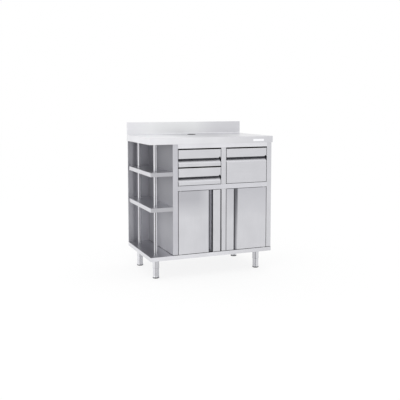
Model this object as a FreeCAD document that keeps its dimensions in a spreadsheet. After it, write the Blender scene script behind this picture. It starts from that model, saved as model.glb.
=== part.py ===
import FreeCAD, Part
import Sketcher

import os
from types import SimpleNamespace

# Waiter service station in folded stainless sheet: a worktop with an upstand, an open end with two shelves
# on round posts, three drawers, a cupboard with two doors, and four adjustable legs.
# +X is to the user's right, -Y is the front and +Z is up. The floor is z = 0, and the origin lies under
# the middle of the worktop. All sizes are in millimetres.

SIZES = {
    # worktop
    "top_width": 1000,
    "top_depth": 600,
    "top_level": 1050,
    "skirt_height": 48,
    "top_sheet": 1.5,
    "top_hem": 25,
    "top_bend": 3,
    "upstand_height": 100,
    "upstand_depth": 15,
    "cove_radius": 8,
    "end_radius": 1,
    # cable outlet in the worktop
    "grommet_setback": 150,
    "grommet_hole": 60,
    "grommet_bore": 50,
    "grommet_flange": 66,
    "grommet_drop": 20,
    "grommet_lip": 2,
    # carcass
    "base_inset": 5,
    "bay_width": 175,
    "front_setback": 10,
    "stile_width": 40,
    "frame_return": 50,
    "frame_sheet": 1.2,
    "frame_bend": 1.5,
    "panel_return": 12,
    "top_rail_height": 33,
    "mid_rail_height": 37,
    # base tray, shelves and the hat sections under the sheets
    "base_level": 178,
    "tray_height": 30,
    "tray_sheet": 1.5,
    "tray_hem": 12,
    "tray_bend": 2,
    "shelf_setback": 10,
    "shelf_upper_level": 799,
    "shelf_lower_level": 540,
    "hat_width": 60,
    "hat_flange": 15,
    "base_hat_height": 20,
    # shelf inside the cupboard
    "inner_shelf_level": 420,
    "inner_shelf_depth": 470,
    "inner_shelf_height": 25,
    "ledge_width": 20,
    # posts and legs
    "post_diameter": 28,
    "post_wall": 1.5,
    "leg_inset_left": 75,
    "leg_inset_right": 90,
    "leg_inset_front": 100,
    "leg_inset_rear": 95,
    "leg_diameter": 50,
    "leg_wall": 1.8,
    "leg_plate_width": 90,
    "leg_plate": 4,
    "leg_screw": 6,
    "leg_screw_head": 10,
    "leg_screw_head_height": 4,
    "leg_screw_spacing": 64,
    "leg_insert": 18,
    "foot_height": 75,
    "foot_diameter": 46,
    "foot_flare": 49,
    "foot_rim": 3.5,
    "foot_taper": 7,
    "foot_pad": 7,
    "foot_pad_round": 1.8,
    "foot_stem": 16,
    "foot_stem_length": 48,
    # fronts with a folded finger channel
    "front_depth": 32,
    "front_sheet": 1,
    "front_gap": 3,
    "side_gap": 4,
    "drawer_headroom": 10,
    "drawer_front_height": 126.5,
    "drawer_strip": 65,
    "door_strip": 62,
    "channel_depth": 26,
    "channel_undercut": 12,
    "lip_thickness": 3,
    "channel_bend": 1.2,
    "relief_width": 16,
    "relief_height": 11,
    "relief_margin": 2,
    # drawer boxes and their three-part runners
    "box_length": 500,
    "box_sheet": 1,
    "box_lift": 18,
    "box_headroom": 24,
    "box_corner": 3,
    "box_hem": 10,
    "runner_length": 480,
    "runner_width": 12.7,
    "runner_height": 45,
    "runner_sheet": 1.2,
    "runner_lift": 4,
    "runner_play": 0.4,
    # door pivots and catches
    "pivot_inset": 18,
    "pivot_setback": 8,
    "pivot_diameter": 8,
    "pivot_washer": 13,
    "pivot_collar": 3,
    "bush_diameter": 12,
    "bush_length": 9,
    "bush_flange": 1,
    "catch_length": 40,
    "catch_size": 16,
    "catch_margin": 30,
    # clearances
    "running_fit": 0.05,
    "loose_fit": 0.3,
}
TOP_HATS = 4
CHANNEL_SLOPE = 1.45


class Size:
    """A length of the model: its value now, and the spreadsheet expression that it stands for."""

    def __init__(self, number, text):
        self.number = number
        self.text = text

    def __add__(self, other):
        other = as_size(other)
        return Size(self.number + other.number, f"({self.text} + {other.text})")

    def __sub__(self, other):
        other = as_size(other)
        return Size(self.number - other.number, f"({self.text} - {other.text})")

    def __mul__(self, factor):
        return Size(self.number * factor, f"({self.text} * {factor})")

    def __truediv__(self, divisor):
        return Size(self.number / divisor, f"({self.text} / {divisor})")

    def __neg__(self):
        return Size(-self.number, f"(0 - {self.text})")


def as_size(value):
    """A plain number counts as a length that no cell drives."""
    return value if isinstance(value, Size) else Size(value, f"({value})")


ZERO = Size(0, "0")

doc = FreeCAD.newDocument("service_station")
sheet = doc.addObject("Spreadsheet::Sheet", "Sizes")
for row, (alias, value) in enumerate(SIZES.items(), start=1):
    sheet.set(f"A{row}", alias)
    sheet.set(f"B{row}", str(value))
    sheet.setAlias(f"B{row}", alias)
doc.recompute()
s = SimpleNamespace(**{alias: Size(value, f"Sizes.{alias}") for alias, value in SIZES.items()})

nodes = []


# Tools that every sub-part is made with.


def bind(feature, prop, size):
    feature.setExpression(prop, as_size(size).text)


def new_body(label):
    body = doc.addObject("PartDesign::Body", label)
    body.Label = label
    body.AllowCompound = True
    return body


def keep(item):
    """Marks an object as a sub-part that gets its own file."""
    nodes.append(item)
    return item


def new_sketch(body, plane, start=ZERO):
    """An empty sketch on one of the body's own planes, moved to the height start along +X, +Y or +Z."""
    sketch = body.newObject("Sketcher::SketchObject", "outline")
    support = next(item for item in body.Origin.OriginFeatures if item.Role == plane)
    sketch.AttachmentSupport = (support, [""])
    sketch.MapMode = "FlatFace"
    bind(sketch, "AttachmentOffset.Base.z", -as_size(start) if plane == "XZ_Plane" else start)
    return sketch


def fix_point(sketch, geometry, position, point):
    """Ties one point of a sketch to the sketch's origin by two lengths."""
    for kind, size in zip(("DistanceX", "DistanceY"), point):
        size = as_size(size)
        index = sketch.addConstraint(Sketcher.Constraint(kind, -1, 1, geometry, position, size.number))
        bind(sketch, f"Constraints[{index}]", size)


def draw_polygon(sketch, points):
    corners = [FreeCAD.Vector(as_size(x).number, as_size(y).number, 0) for x, y in points]
    count = len(corners)
    first = sketch.GeometryCount
    sketch.addGeometry([Part.LineSegment(corners[i], corners[(i + 1) % count]) for i in range(count)])
    sketch.addConstraint(
        [Sketcher.Constraint("Coincident", first + i, 2, first + (i + 1) % count, 1) for i in range(count)]
    )
    for i, point in enumerate(points):
        fix_point(sketch, first + i, 1, point)


def draw_circle(sketch, centre, radius):
    middle = FreeCAD.Vector(as_size(centre[0]).number, as_size(centre[1]).number, 0)
    index = sketch.addGeometry(Part.Circle(middle, FreeCAD.Vector(0, 0, 1), radius.number))
    fix_point(sketch, index, 3, centre)
    row = sketch.addConstraint(Sketcher.Constraint("Radius", index, radius.number))
    bind(sketch, f"Constraints[{row}]", radius)


def rectangle(low, high):
    return [low, (high[0], low[1]), high, (low[0], high[1])]


def extrude(body, kind, plane, start, end, loops=(), circles=()):
    """A Pad or a Pocket of the loops and circles from start to end along +X, +Y or +Z."""
    sketch = new_sketch(body, plane, start)
    for points in loops:
        draw_polygon(sketch, points)
    for centre, radius in circles:
        draw_circle(sketch, centre, radius)
    feature = body.newObject(f"PartDesign::{kind}", kind.lower())
    feature.Profile = sketch
    feature.Reversed = (plane == "XZ_Plane") == (kind == "Pad")
    bind(feature, "Length", as_size(end) - start)
    return feature


def pad(body, plane, start, end, loops=(), circles=()):
    return extrude(body, "Pad", plane, start, end, loops, circles)


def cut(body, plane, start, end, loops=(), circles=()):
    return extrude(body, "Pocket", plane, start, end, loops, circles)


def round_edges(body, feature, radius, wanted):
    """Rounds the edges of a feature that the test wanted accepts."""
    doc.recompute()
    names = [f"Edge{i}" for i, edge in enumerate(feature.Shape.Edges, start=1) if wanted(edge)]
    fillet = body.newObject("PartDesign::Fillet", "bends")
    fillet.Base = (feature, names)
    bind(fillet, "Radius", radius)
    return fillet


def along(axis, corners=None):
    """A test for straight edges along an axis, at the given corners in the plane across it if there are any."""
    across = [name for name in "xyz" if name != axis]

    def wanted(edge):
        ends = [vertex.Point for vertex in edge.Vertexes]
        if len(ends) != 2 or any(abs(getattr(ends[0] - ends[1], name)) > 1e-6 for name in across):
            return False
        if corners is None:
            return True
        here = [getattr(ends[0], name) for name in across]
        return any(
            all(abs(as_size(size).number - value) < 1e-4 for size, value in zip(corner, here)) for corner in corners
        )

    return wanted


def repeat(body, feature, axis, length, count):
    """Repeats a feature in a row of the given total length along X or Y."""
    pattern = body.newObject("PartDesign::LinearPattern", "row")
    pattern.Originals = [feature]
    pattern.Direction = (next(item for item in body.Origin.OriginFeatures if item.Role == f"{axis}_Axis"), [""])
    bind(pattern, "Length", length)
    pattern.Occurrences = count
    body.Tip = pattern
    return pattern


def revolve(body, points):
    """Turns a half section, given as (radius, height) points, about the body's Z axis."""
    sketch = new_sketch(body, "XZ_Plane")
    draw_polygon(sketch, points)
    turned = body.newObject("PartDesign::Revolution", "turned")
    turned.Profile = sketch
    turned.ReferenceAxis = (sketch, ["V_Axis"])
    turned.Angle = 360
    return turned


def place(item, x=ZERO, y=ZERO, z=ZERO):
    for name, size in zip("xyz", (x, y, z)):
        bind(item, f"Placement.Base.{name}", size)
    return item


def mirror(label, source, axis, middle):
    """The mirror image of an object across the plane at middle on the given axis."""
    image = doc.addObject("Part::Mirroring", label)
    image.Label = label
    image.Source = source
    image.Normal = FreeCAD.Vector(*(float(name == axis) for name in "xyz"))
    bind(image, f"Base.{axis}", middle)
    return image


def group(label, members):
    compound = doc.addObject("Part::Compound", label)
    compound.Label = label
    compound.Links = members
    return compound


def channel_outline(near, far, low, high, wall):
    """A channel section: its web stands at near, and its two flanges reach from there to far."""
    inner = near + wall if near.number < far.number else near - wall
    return [
        (near, low),
        (far, low),
        (far, low + wall),
        (inner, low + wall),
        (inner, high - wall),
        (far, high - wall),
        (far, high),
        (near, high),
    ]


def swapped(points):
    return [(second, first) for first, second in points]


def hat_outline(middle, crown, flange, wall):
    """A hat section with its crown down: a flat crown, two webs, and two flanges that meet the sheet above."""
    half = s.hat_width / 2
    reach = half + s.hat_flange
    return [
        (middle - reach, flange),
        (middle - half + wall, flange),
        (middle - half + wall, crown + wall),
        (middle + half - wall, crown + wall),
        (middle + half - wall, flange),
        (middle + reach, flange),
        (middle + reach, flange - wall),
        (middle + half, flange - wall),
        (middle + half, crown),
        (middle - half, crown),
        (middle - half, flange - wall),
        (middle - reach, flange - wall),
    ]


# Planes and levels that several sub-parts share.

top_front = -s.top_depth / 2
top_rear = s.top_depth / 2
top_right = s.top_width / 2
skirt_foot = s.top_level - s.skirt_height

left = s.base_inset - s.top_width / 2
right = s.top_width / 2 - s.base_inset
rear = top_rear - s.base_inset
rear_inner = rear - s.frame_sheet
front = top_front + s.front_setback
front_back = front + s.front_depth
frame_back = front + s.frame_return

carcass_left = left + s.bay_width
carcass_middle = (carcass_left + right) / 2
opening_left = carcass_left + s.stile_width
opening_right = right - s.stile_width
mullion_left = carcass_middle - s.stile_width / 2
mullion_right = carcass_middle + s.stile_width / 2
opening_width = mullion_left - opening_left
front_width = opening_width - s.side_gap * 2

top_rail_foot = skirt_foot - s.top_rail_height
mid_rail_top = top_rail_foot - s.drawer_front_height * 2 - s.drawer_headroom * 2 - s.front_gap
mid_rail_foot = mid_rail_top - s.mid_rail_height
door_foot = s.base_level + s.front_gap
door_height = mid_rail_foot - s.front_gap - door_foot
base_crown = s.base_level - s.tray_sheet - s.base_hat_height

pivot_left = opening_left + s.side_gap + s.pivot_inset
pivot_right = opening_right - s.side_gap - s.pivot_inset
pivot_y = front + s.pivot_setback
door_middle = (s.base_level + mid_rail_foot) / 2

lower_foot = mid_rail_top + s.front_gap
upper_foot = lower_foot + s.drawer_front_height + s.drawer_headroom
tall_front_height = s.drawer_front_height * 2 + s.drawer_headroom

leg_left = left + s.leg_inset_left - s.base_inset
leg_right = right - s.leg_inset_right + s.base_inset
leg_front = top_front + s.leg_inset_front
leg_rear = top_rear - s.leg_inset_rear


# Worktop: one folded pan with skirts on all sides, an inward hem and a hollow upstand along the rear. The sheet
# is pressed down around the cable outlet, so that the grommet's flange lies flush in its seat.


def make_worktop():
    body = new_body("worktop")
    crest = s.top_level + s.upstand_height
    face = top_rear - s.upstand_depth
    wall = s.top_sheet
    profile = [
        (top_front, skirt_foot),
        (top_front, s.top_level),
        (face, s.top_level),
        (face, crest),
        (top_rear, crest),
        (top_rear, skirt_foot),
    ]
    solid = pad(body, "YZ_Plane", -top_right, top_right, [profile])
    folds = [(top_front, s.top_level), (face, crest), (top_rear, crest)]
    folded = round_edges(body, solid, s.top_bend, along("x", folds))
    coved = round_edges(body, folded, s.cove_radius, along("x", [(face, s.top_level)]))

    def on_end(edge):
        points = [vertex.Point for vertex in edge.Vertexes]
        at_end = all(abs(abs(point.x) - top_right.number) < 1e-6 for point in points)
        return at_end and any(point.z > skirt_foot.number + 1e-6 for point in points)

    round_edges(body, coved, s.end_radius, on_end)
    hollow = [
        (top_front + wall, skirt_foot + wall),
        (top_front + wall, s.top_level - wall),
        (face + wall, s.top_level - wall),
        (face + wall, crest - wall),
        (top_rear - wall, crest - wall),
        (top_rear - wall, skirt_foot + wall),
    ]
    cut(body, "YZ_Plane", wall - top_right, top_right - wall, [hollow])
    low = (s.top_hem - top_right, top_front + s.top_hem)
    high = (top_right - s.top_hem, top_rear - s.top_hem)
    cut(body, "XY_Plane", skirt_foot, skirt_foot + wall, [rectangle(low, high)])
    outlet = (ZERO, s.grommet_setback)
    seat = s.grommet_flange / 2 + s.loose_fit
    seat_level = s.top_level - s.grommet_lip
    rings = [(outlet, seat + wall), (outlet, s.grommet_hole / 2)]
    pad(body, "XY_Plane", seat_level - wall, s.top_level - wall, circles=rings)
    cut(body, "XY_Plane", seat_level, s.top_level, circles=[(outlet, seat)])
    return keep(body)


# Four hat sections run from front to rear under the worktop. The first stands over the shelf posts.


def make_worktop_stiffeners():
    body = new_body("worktop_stiffeners")
    outline = hat_outline(leg_left, skirt_foot, s.top_level - s.top_sheet, s.frame_sheet)
    start = top_front + s.top_hem + s.loose_fit
    first = pad(body, "XZ_Plane", start, -start, [outline])
    repeat(body, first, "X", -leg_left * 2, TOP_HATS)
    return keep(body)


# Cable grommet: a flanged plastic ring that lies in the worktop's pressed seat.


def make_grommet():
    body = new_body("cable_grommet")
    bore = s.grommet_bore / 2
    barrel = s.grommet_hole / 2 - s.loose_fit
    flange = s.grommet_flange / 2
    end = -s.grommet_lip - s.grommet_drop
    section = [
        (bore, end),
        (barrel, end),
        (barrel, -s.grommet_lip),
        (flange, -s.grommet_lip),
        (flange, -s.grommet_lip / 2),
        (flange - s.grommet_lip / 2, ZERO),
        (bore, ZERO),
    ]
    revolve(body, section)
    return keep(place(body, ZERO, s.grommet_setback, s.top_level))


# Pans: the base tray and the shelves are flat sheets with skirts folded down and hemmed inwards.


def make_pan(label, low, high, level, height, holes=()):
    """A pan between two plan corners, its top at level and its skirts of the given height."""
    body = new_body(label)
    wall = s.tray_sheet
    foot = level - height
    solid = pad(body, "XY_Plane", foot, level, [rectangle(low, high)])
    corners = [(low[0], low[1]), (high[0], low[1]), (low[0], high[1]), (high[0], high[1])]
    rounded = round_edges(body, solid, s.tray_bend, along("z", corners))
    round_edges(body, rounded, s.tray_bend / 2, lambda edge: all(v.Z > level.number - 1e-6 for v in edge.Vertexes))
    inner_low = (low[0] + wall, low[1] + wall)
    inner_high = (high[0] - wall, high[1] - wall)
    cut(body, "XY_Plane", foot + wall, level - wall, [rectangle(inner_low, inner_high)])
    hem_low = (low[0] + s.tray_hem, low[1] + s.tray_hem)
    hem_high = (high[0] - s.tray_hem, high[1] - s.tray_hem)
    cut(body, "XY_Plane", foot, foot + wall, [rectangle(hem_low, hem_high)])
    if holes:
        cut(body, "XY_Plane", level - wall, level, circles=holes)
    return keep(body)


def make_base():
    holes = [((pivot_x, pivot_y), s.bush_diameter / 2) for pivot_x in (pivot_left, pivot_right)]
    return make_pan("base_tray", (left, top_front + s.base_inset), (right, rear), s.base_level, s.tray_height, holes)


def make_open_shelves():
    """Two shelves in the open bay, each with a hole around either post."""
    low = (left + s.shelf_setback - s.base_inset, top_front + s.shelf_setback)
    high = (carcass_left, rear_inner)
    posts = [((leg_left, post_y), s.post_diameter / 2 + s.loose_fit) for post_y in (leg_front, leg_rear)]
    make_pan("shelf_upper", low, high, s.shelf_upper_level, s.tray_height, posts)
    make_pan("shelf_lower", low, high, s.shelf_lower_level, s.tray_height, posts)


# Shelf posts: two round tubes from the base tray up to the worktop, through the holes in both shelves.


def make_posts():
    body = new_body("shelf_posts")
    rings = [((leg_left, leg_front), s.post_diameter / 2), ((leg_left, leg_front), s.post_diameter / 2 - s.post_wall)]
    tube = pad(body, "XY_Plane", s.base_level, skirt_foot, circles=rings)
    repeat(body, tube, "Y", leg_rear - leg_front, 2)
    return keep(body)


# Carcass: folded side panels whose front edges are the stiles, a back panel, and channel-section rails.


def make_side_panels():
    body = new_body("side_panel_left")
    wall = s.frame_sheet
    plan = [
        (carcass_left, rear_inner),
        (carcass_left, front),
        (opening_left, front),
        (opening_left, frame_back),
        (opening_left - wall, frame_back),
        (opening_left - wall, front + wall),
        (carcass_left + wall, front + wall),
        (carcass_left + wall, rear_inner),
    ]
    folded = pad(body, "XY_Plane", s.base_level, skirt_foot, [plan])
    round_edges(body, folded, s.frame_bend, along("z", [(carcass_left, front), (opening_left, front)]))
    keep(body)
    return keep(mirror("side_panel_right", body, "x", carcass_middle))


def make_back_panel():
    body = new_body("back_panel")
    wall = s.frame_sheet
    plan = [
        (left, rear - s.panel_return),
        (left, rear),
        (right, rear),
        (right, rear_inner),
        (left + wall, rear_inner),
        (left + wall, rear - s.panel_return),
    ]
    folded = pad(body, "XY_Plane", s.base_level, skirt_foot, [plan])
    round_edges(body, folded, s.frame_bend, along("z", [(left, rear)]))
    return keep(body)


def make_rail(label, low, high, holes=()):
    body = new_body(label)
    outline = channel_outline(front, frame_back, low, high, s.frame_sheet)
    folded = pad(body, "YZ_Plane", opening_left, opening_right, [outline])
    round_edges(body, folded, s.frame_bend, along("x", [(front, low), (front, high)]))
    if holes:
        cut(body, "XY_Plane", low, low + s.frame_sheet, circles=holes)
    return keep(body)


def make_rails():
    holes = [((pivot_x, pivot_y), s.bush_diameter / 2) for pivot_x in (pivot_left, pivot_right)]
    make_rail("top_rail", top_rail_foot, skirt_foot)
    make_rail("mid_rail", mid_rail_foot, mid_rail_top, holes)


def make_mullion(label, low, high):
    body = new_body(label)
    outline = swapped(channel_outline(front, frame_back, mullion_left, mullion_right, s.frame_sheet))
    folded = pad(body, "XY_Plane", low, high, [outline])
    round_edges(body, folded, s.frame_bend, along("z", [(mullion_left, front), (mullion_right, front)]))
    return keep(body)


# Drawer deck: the sheet between the drawers and the cupboard. Three upright sections on it carry the runners.


def make_drawer_deck():
    body = new_body("drawer_deck")
    plan = rectangle((carcass_left + s.frame_sheet, frame_back), (right - s.frame_sheet, rear_inner))
    pad(body, "XY_Plane", mid_rail_top - s.frame_sheet, mid_rail_top, [plan])
    return keep(body)


def make_runner_panels():
    wall = s.frame_sheet
    side = new_body("runner_panel_left")
    outline = channel_outline(opening_left, carcass_left + wall, mid_rail_top, skirt_foot, wall)
    pad(side, "XZ_Plane", frame_back, rear_inner, [outline])
    keep(side)
    keep(mirror("runner_panel_right", side, "x", carcass_middle))
    centre = new_body("runner_panel_centre")
    outline = swapped(channel_outline(skirt_foot, mid_rail_top, mullion_left, mullion_right, wall))
    pad(centre, "XZ_Plane", frame_back, rear_inner, [outline])
    return keep(centre)


# Cupboard: one inner shelf that lies loose on two ledges.


def make_inner_shelf():
    wall = s.frame_sheet
    low = (carcass_left + wall + s.loose_fit, rear_inner - s.loose_fit - s.inner_shelf_depth)
    high = (right - wall - s.loose_fit, rear_inner - s.loose_fit)
    make_pan("cupboard_shelf", low, high, s.inner_shelf_level, s.inner_shelf_height)
    body = new_body("shelf_ledge")
    corner_x = carcass_left + wall
    corner_z = s.inner_shelf_level - s.inner_shelf_height
    outline = [
        (corner_x, corner_z),
        (corner_x + s.ledge_width, corner_z),
        (corner_x + s.ledge_width, corner_z - wall),
        (corner_x + wall, corner_z - wall),
        (corner_x + wall, corner_z - s.ledge_width),
        (corner_x, corner_z - s.ledge_width),
    ]
    pad(body, "XZ_Plane", low[1], rear_inner, [outline])
    return keep(group("shelf_ledges", [body, mirror("shelf_ledge_twin", body, "x", carcass_middle)]))


# Base: two hat sections under the tray, and a leg screwed below each of their ends.


def make_base_stiffeners():
    body = new_body("base_stiffeners")
    outline = hat_outline(leg_front, base_crown, s.base_level - s.tray_sheet, s.frame_sheet)
    first = pad(body, "YZ_Plane", left + s.tray_sheet, right - s.tray_sheet, [outline])
    repeat(body, first, "Y", leg_rear - leg_front, 2)
    return keep(body)


def screw_places(x, y, radius):
    half = s.leg_screw_spacing / 2
    return [((x + half * i, y + half * j), radius) for i in (-1, 1) for j in (-1, 1)]


def make_leg(label, x, y):
    """A square plate with four screw holes, a tube welded below it, and a threaded insert in its foot."""
    body = new_body(label)
    half = s.leg_plate_width / 2
    plate_foot = base_crown - s.leg_plate
    outer = s.leg_diameter / 2
    plate = rectangle((x - half, y - half), (x + half, y + half))
    solid = pad(body, "XY_Plane", plate_foot, base_crown, [plate], screw_places(x, y, s.leg_screw / 2 + s.loose_fit))
    corners = [(x + half * i, y + half * j) for i in (-1, 1) for j in (-1, 1)]
    round_edges(body, solid, s.top_bend, along("z", corners))
    pad(body, "XY_Plane", s.foot_height, plate_foot, circles=[((x, y), outer), ((x, y), outer - s.leg_wall)])
    insert = [((x, y), outer - s.leg_wall), ((x, y), s.foot_stem / 2 + s.running_fit)]
    pad(body, "XY_Plane", s.foot_height, s.foot_height + s.leg_insert, circles=insert)
    return keep(body)


def make_foot(name, x, y):
    """An adjustable foot: a steel bell on a threaded stem, and a plastic pad under it."""
    body = new_body(f"foot_{name}")
    stem = s.foot_stem / 2
    bell = s.foot_diameter / 2
    flare = s.foot_flare / 2
    top = s.foot_height - s.loose_fit
    section = [
        (ZERO, s.foot_pad),
        (flare, s.foot_pad),
        (flare, s.foot_pad + s.foot_rim),
        (bell, s.foot_pad + s.foot_rim + s.foot_taper),
        (bell, top - s.top_bend),
        (bell - s.top_bend, top),
        (stem, top),
        (stem, top + s.foot_stem_length),
        (ZERO, top + s.foot_stem_length),
    ]
    revolve(body, section)
    keep(place(body, x, y))
    pad_body = new_body(f"foot_pad_{name}")
    rim = flare - s.foot_pad_round
    section = [(ZERO, ZERO), (rim, ZERO), (flare, s.foot_pad_round), (flare, s.foot_pad), (ZERO, s.foot_pad)]
    revolve(pad_body, section)
    return keep(place(pad_body, x, y))


def hexagon(x, y, across_flats):
    """The corners of a hexagon head, two of them on the line through its centre along X."""
    half = across_flats / 2
    reach = across_flats / 3**0.5
    steps = ((1, 0), (0.5, 1), (-0.5, 1), (-1, 0), (-0.5, -1), (0.5, -1))
    return [(x + reach * along_x, y + half * along_y) for along_x, along_y in steps]


def make_leg_screws():
    """Sixteen hexagon-head screws, four through each leg plate."""
    body = new_body("leg_screws")
    plate_foot = base_crown - s.leg_plate
    heads = []
    shanks = []
    for x in (leg_left, leg_right):
        for y in (leg_front, leg_rear):
            for (screw_x, screw_y), radius in screw_places(x, y, s.leg_screw / 2):
                shanks.append(((screw_x, screw_y), radius))
                heads.append(hexagon(screw_x, screw_y, s.leg_screw_head))
    pad(body, "XY_Plane", plate_foot - s.leg_screw_head_height, plate_foot, heads)
    pad(body, "XY_Plane", plate_foot, base_crown, circles=shanks)
    return keep(body)


# Fronts. Doors and drawers share one folded skin with a finger channel across it: from the main panel the
# sheet slopes back to the channel's full depth under the lip, runs on behind the strip and returns as its hem.
# CHANNEL_SLOPE is the width of the slope for each unit of its depth.


def make_front_skin(label, run, length, strip):
    """A front skin in its own frame: x runs from the main panel's edge to the strip's edge, y goes back into
    the carcass, and the section runs along z between two end sheets, where the channel stays open."""
    body = new_body(label)
    wall = s.front_sheet
    deep = s.channel_depth
    lip = run - strip
    slope = lip - deep * CHANNEL_SLOPE
    end = lip + s.channel_undercut
    section = [
        (ZERO, ZERO),
        (slope, ZERO),
        (lip, deep),
        (end, deep),
        (end, s.lip_thickness),
        (lip, s.lip_thickness),
        (lip, ZERO),
        (run, ZERO),
        (run, s.front_depth),
        (ZERO, s.front_depth),
    ]
    solid = pad(body, "XY_Plane", ZERO, length, [section])
    bends = [point for point in section[:8] if point != (end, s.lip_thickness)]
    round_edges(body, solid, s.channel_bend, along("z", bends))
    mitre = wall * ((CHANNEL_SLOPE**2 + 1) ** 0.5 - CHANNEL_SLOPE)
    hollow = [
        (wall, wall),
        (slope - mitre, wall),
        (lip - mitre, deep + wall),
        (end + wall, deep + wall),
        (end + wall, wall),
        (run - wall, wall),
        (run - wall, s.front_depth),
        (wall, s.front_depth),
    ]
    cut(body, "XY_Plane", wall, length - wall, [hollow])
    return body


def make_front_liner(label, run, length):
    """The flat inner sheet that closes the back of a front, in the same frame as its skin."""
    body = new_body(label)
    edge = s.front_sheet + s.loose_fit
    plan = rectangle((edge, s.front_depth - s.front_sheet), (run - edge, s.front_depth))
    pad(body, "XY_Plane", edge, length - edge, [plan])
    return body


def turn_upright(item, x, z):
    """Lays a front's section upright: its main panel edge at the bottom, its length running towards -X."""
    item.Placement = FreeCAD.Placement(FreeCAD.Vector(), FreeCAD.Rotation(FreeCAD.Vector(0, 1, 0), -90))
    return place(item, x, front, z)


def make_doors():
    skin = make_front_skin("door_left_skin", front_width, door_height, s.door_strip)
    local_pivot = ((s.pivot_inset, s.pivot_setback), s.pivot_diameter / 2 + s.running_fit)
    cut(skin, "XY_Plane", ZERO, door_height, circles=[local_pivot])
    liner = make_front_liner("door_left_liner", front_width, door_height)
    for item in (skin, liner):
        keep(place(item, opening_left + s.side_gap, front, door_foot))
    pivot = make_pivot()
    bush = make_bush()
    pivots = group("door_left_pivots", [pivot, mirror("pivot_top", pivot, "z", door_middle)])
    bushes = group("bushes_left", [bush, mirror("bush_top", bush, "z", door_middle)])
    keep(pivots)
    keep(mirror("door_right_skin", skin, "x", carcass_middle))
    keep(mirror("door_right_liner", liner, "x", carcass_middle))
    keep(mirror("door_right_pivots", pivots, "x", carcass_middle))
    return keep(group("door_bushes", [bushes, mirror("bushes_right", bushes, "x", carcass_middle)]))


# Door pivots: a pin with a washer under the door's end and a collar inside it, turning in a flanged bush.


def make_pivot():
    body = new_body("pivot_foot")
    pin = s.pivot_diameter / 2
    washer = s.pivot_washer / 2
    lift = s.front_gap - s.bush_flange - s.loose_fit
    section = [
        (ZERO, -s.bush_length - s.front_gap + s.loose_fit),
        (pin, -s.bush_length - s.front_gap + s.loose_fit),
        (pin, -lift),
        (washer, -lift),
        (washer, ZERO),
        (pin, ZERO),
        (pin, s.front_sheet),
        (washer, s.front_sheet),
        (washer, s.front_sheet + s.pivot_collar),
        (ZERO, s.front_sheet + s.pivot_collar),
    ]
    revolve(body, section)
    return place(body, pivot_left, pivot_y, door_foot)


def make_bush():
    body = new_body("bush_foot")
    bore = s.pivot_diameter / 2 + s.running_fit
    barrel = s.bush_diameter / 2 - s.running_fit
    flange = barrel + s.bush_flange
    section = [
        (bore, -s.bush_length),
        (barrel, -s.bush_length),
        (barrel, ZERO),
        (flange, ZERO),
        (flange, s.bush_flange),
        (bore, s.bush_flange),
    ]
    revolve(body, section)
    return place(body, pivot_left, pivot_y, s.base_level)


def make_catches():
    """Magnetic catches under the mid rail, behind the closing edges of the doors."""
    body = new_body("door_catch_left")
    low_x = opening_left + s.side_gap + front_width - s.catch_margin - s.catch_length
    low = (low_x, front_back + s.loose_fit)
    high = (low_x + s.catch_length, frame_back)
    block = pad(body, "XY_Plane", mid_rail_foot - s.catch_size, mid_rail_foot, [rectangle(low, high)])
    round_edges(body, block, s.frame_bend, along("z"))
    return keep(group("door_catches", [body, mirror("door_catch_right", body, "x", carcass_middle)]))


# Drawers: a front skin and liner, a folded box, and a pair of three-part telescopic runners.


def make_drawer(name, opening_start, foot, height):
    """One drawer whose front starts at the height foot, in the opening that starts at opening_start."""
    middle = opening_start + opening_width / 2
    front_end = opening_start + opening_width - s.side_gap
    skin = make_front_skin(f"drawer_front_{name}", height, front_width, s.drawer_strip)
    lip = height - s.drawer_strip
    relief = [
        (lip, s.relief_margin),
        (lip, s.relief_margin + s.relief_width),
        (lip + s.relief_height, s.relief_margin + s.relief_width / 4),
    ]
    cut(skin, "XZ_Plane", ZERO, s.lip_thickness, [relief])
    keep(turn_upright(skin, front_end, foot))
    keep(turn_upright(make_front_liner(f"drawer_liner_{name}", height, front_width), front_end, foot))

    box_foot = foot + s.box_lift
    box_top = foot + height - s.box_headroom
    make_drawer_box(f"drawer_box_{name}", opening_start, box_foot, box_top)

    axis = box_foot + s.runner_lift + s.runner_height / 2
    for part, near, far, half in runner_sections():
        body = new_body(f"{part}_{name}_left")
        outline = channel_outline(opening_start + near, opening_start + far, axis - half, axis + half, s.runner_sheet)
        pad(body, "XZ_Plane", frame_back, frame_back + s.runner_length, [outline])
        keep(group(f"{part}_{name}", [body, mirror(f"{part}_{name}_right", body, "x", middle)]))


def runner_sections():
    """Name, web, flange tip and half height of the three nested runner sections, from the carcass inwards."""
    wall = s.runner_sheet
    play = s.runner_play
    step = wall + play
    half = s.runner_height / 2
    return [
        ("runner_outer", ZERO, s.runner_width - step, half),
        ("runner_middle", step, s.runner_width - step, half - step),
        ("runner_inner", s.runner_width, step * 2, half - step * 2),
    ]


def make_drawer_box(label, opening_start, low, high):
    body = new_body(label)
    wall = s.box_sheet
    x_start = opening_start + s.runner_width
    x_end = opening_start + opening_width - s.runner_width
    y_end = front_back + s.box_length
    solid = pad(body, "XY_Plane", low, high, [rectangle((x_start, front_back), (x_end, y_end))])
    round_edges(body, solid, s.box_corner, along("z"))
    inside = rectangle((x_start + wall, front_back + wall), (x_end - wall, y_end - wall))
    cut(body, "XY_Plane", low + wall, high - wall, [inside])
    hem = s.box_hem
    mouth = rectangle((x_start + hem, front_back + hem), (x_end - hem, y_end - hem))
    cut(body, "XY_Plane", high - wall, high, [mouth])
    return keep(body)


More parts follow.
